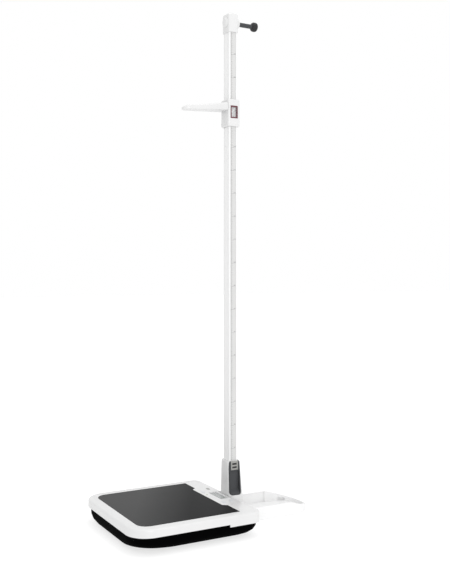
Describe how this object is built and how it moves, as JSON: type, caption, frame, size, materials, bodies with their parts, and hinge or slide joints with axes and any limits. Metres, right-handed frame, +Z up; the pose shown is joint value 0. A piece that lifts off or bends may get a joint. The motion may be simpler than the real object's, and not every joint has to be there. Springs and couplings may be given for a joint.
{
  "type": "digital floor scale with height rod",
  "caption": "Low floor scale with a display console, and a sectional height rod with a sliding head arm that stands on a stabiliser tray behind it.",
  "frame": {"origin": "on the floor under the middle of the footprint, which runs from the platform's front edge to the stabiliser tray's back end", "axes": "+Z up, -Y towards the platform's front edge, +Y towards the wall, +X towards the side with the measuring tape and the release button"},
  "size_m": [0.578, 0.942, 2.185],
  "materials": {
    "white_plastic": "satin",
    "tray_white": "satin",
    "rod_white": "satin",
    "mat_rubber": "matte ribbed",
    "black_plastic": "matte",
    "grey_plastic": "matte",
    "button_grey": "matte",
    "key_grey": "satin",
    "window_red": "gloss",
    "clear": "polished",
    "lcd": "satin",
    "circuit": "satin",
    "tape": "satin",
    "steel": "brushed",
    "cell_alloy": "satin",
    "foot_rubber": "matte",
    "battery_wrap": "gloss",
    "vial_liquid": "polished",
    "shoe_plastic": "matte"
  },
  "bodies": {
    "stand": {"tread_mat": "mat_rubber", "top_cover": "white_plastic", "console_panel": "white_plastic", "display_lens": "clear", "display_module": "lcd", "main_board": "circuit", "key_switches": "black_plastic", "level_vial": "vial_liquid", "load_plate": "steel", "cross_rails": "steel", "load_cells": "cell_alloy", "load_cell_bolts": "steel", "base_pan": "black_plastic", "case_screws": "steel", "battery_tray": "black_plastic", "battery_cells": "battery_wrap", "tongue_plate": "steel", "locating_studs": "steel", "stabiliser_tray": "tray_white", "tray_pads": "foot_rubber", "socket_tower": "white_plastic", "tower_insert": "grey_plastic", "tower_screws": "steel", "lock_spring": "steel", "rod_section_1": "rod_white", "rod_section_2": "rod_white", "rod_section_3": "rod_white", "rod_section_4": "rod_white", "joint_plug_1": "grey_plastic", "joint_plug_2": "grey_plastic", "joint_plug_3": "grey_plastic", "tape_strips": "tape", "top_cap": "white_plastic"},
    "head_slide": {"slide_near_shell": "white_plastic", "slide_far_shell": "white_plastic", "slide_screws": "steel", "head_arm": "white_plastic", "window_frame": "window_red", "reading_lens": "clear", "glide_shoes": "shoe_plastic", "brake_pad": "foot_rubber", "brake_spring": "steel"},
    "spacer": {"spacer_rod": "grey_plastic", "spacer_bumper": "foot_rubber"},
    "lock": {"lock_button": "button_grey", "button_grips": "foot_rubber"},
    "power_key": {"key_power": "key_grey"},
    "zero_key": {"key_zero": "button_grey"},
    "hold_key": {"key_hold": "key_grey"},
    "units_key": {"key_units": "key_grey"},
    "battery_door": {"battery_cover": "black_plastic"},
    "foot_1": {"foot_stud_1": "steel", "foot_pad_1": "foot_rubber"},
    "foot_2": {"foot_stud_2": "steel", "foot_pad_2": "foot_rubber"},
    "foot_3": {"foot_stud_3": "steel", "foot_pad_3": "foot_rubber"},
    "foot_4": {"foot_stud_4": "steel", "foot_pad_4": "foot_rubber"}
  },
  "joints": [
    {"name": "head_slide_travel", "type": "slide", "parent": "stand", "child": "head_slide", "axis": [0, 0, 1], "range_m": [-1.4, 0.288]},
    {"name": "spacer_pull", "type": "slide", "parent": "stand", "child": "spacer", "axis": [0, 1, 0], "range_m": [0, 0.04]},
    {"name": "lock_press", "type": "slide", "parent": "stand", "child": "lock", "axis": [-1, 0, 0], "range_m": [0, 0.0026], "stiffness_N_per_m": 900},
    {"name": "key_power_press", "type": "slide", "parent": "stand", "child": "power_key", "axis": [0, 0, -1], "range_m": [0, 0.0012], "stiffness_N_per_m": 500},
    {"name": "key_zero_press", "type": "slide", "parent": "stand", "child": "zero_key", "axis": [0, 0, -1], "range_m": [0, 0.0012], "stiffness_N_per_m": 500},
    {"name": "key_hold_press", "type": "slide", "parent": "stand", "child": "hold_key", "axis": [0, 0, -1], "range_m": [0, 0.0012], "stiffness_N_per_m": 500},
    {"name": "key_units_press", "type": "slide", "parent": "stand", "child": "units_key", "axis": [0, 0, -1], "range_m": [0, 0.0012], "stiffness_N_per_m": 500},
    {"name": "battery_cover_slide", "type": "slide", "parent": "stand", "child": "battery_door", "axis": [1, 0, 0], "range_m": [0, 0.03]},
    {"name": "foot_1_turn", "type": "hinge", "parent": "stand", "child": "foot_1", "pos_m": [-0.184, -0.345, 0.02], "axis": [0, 0, 1], "continuous": true},
    {"name": "foot_2_turn", "type": "hinge", "parent": "stand", "child": "foot_2", "pos_m": [0.184, -0.345, 0.02], "axis": [0, 0, 1], "continuous": true},
    {"name": "foot_3_turn", "type": "hinge", "parent": "stand", "child": "foot_3", "pos_m": [-0.184, -0.0465, 0.02], "axis": [0, 0, 1], "continuous": true},
    {"name": "foot_4_turn", "type": "hinge", "parent": "stand", "child": "foot_4", "pos_m": [0.184, -0.0465, 0.02], "axis": [0, 0, 1], "continuous": true}
  ]
}
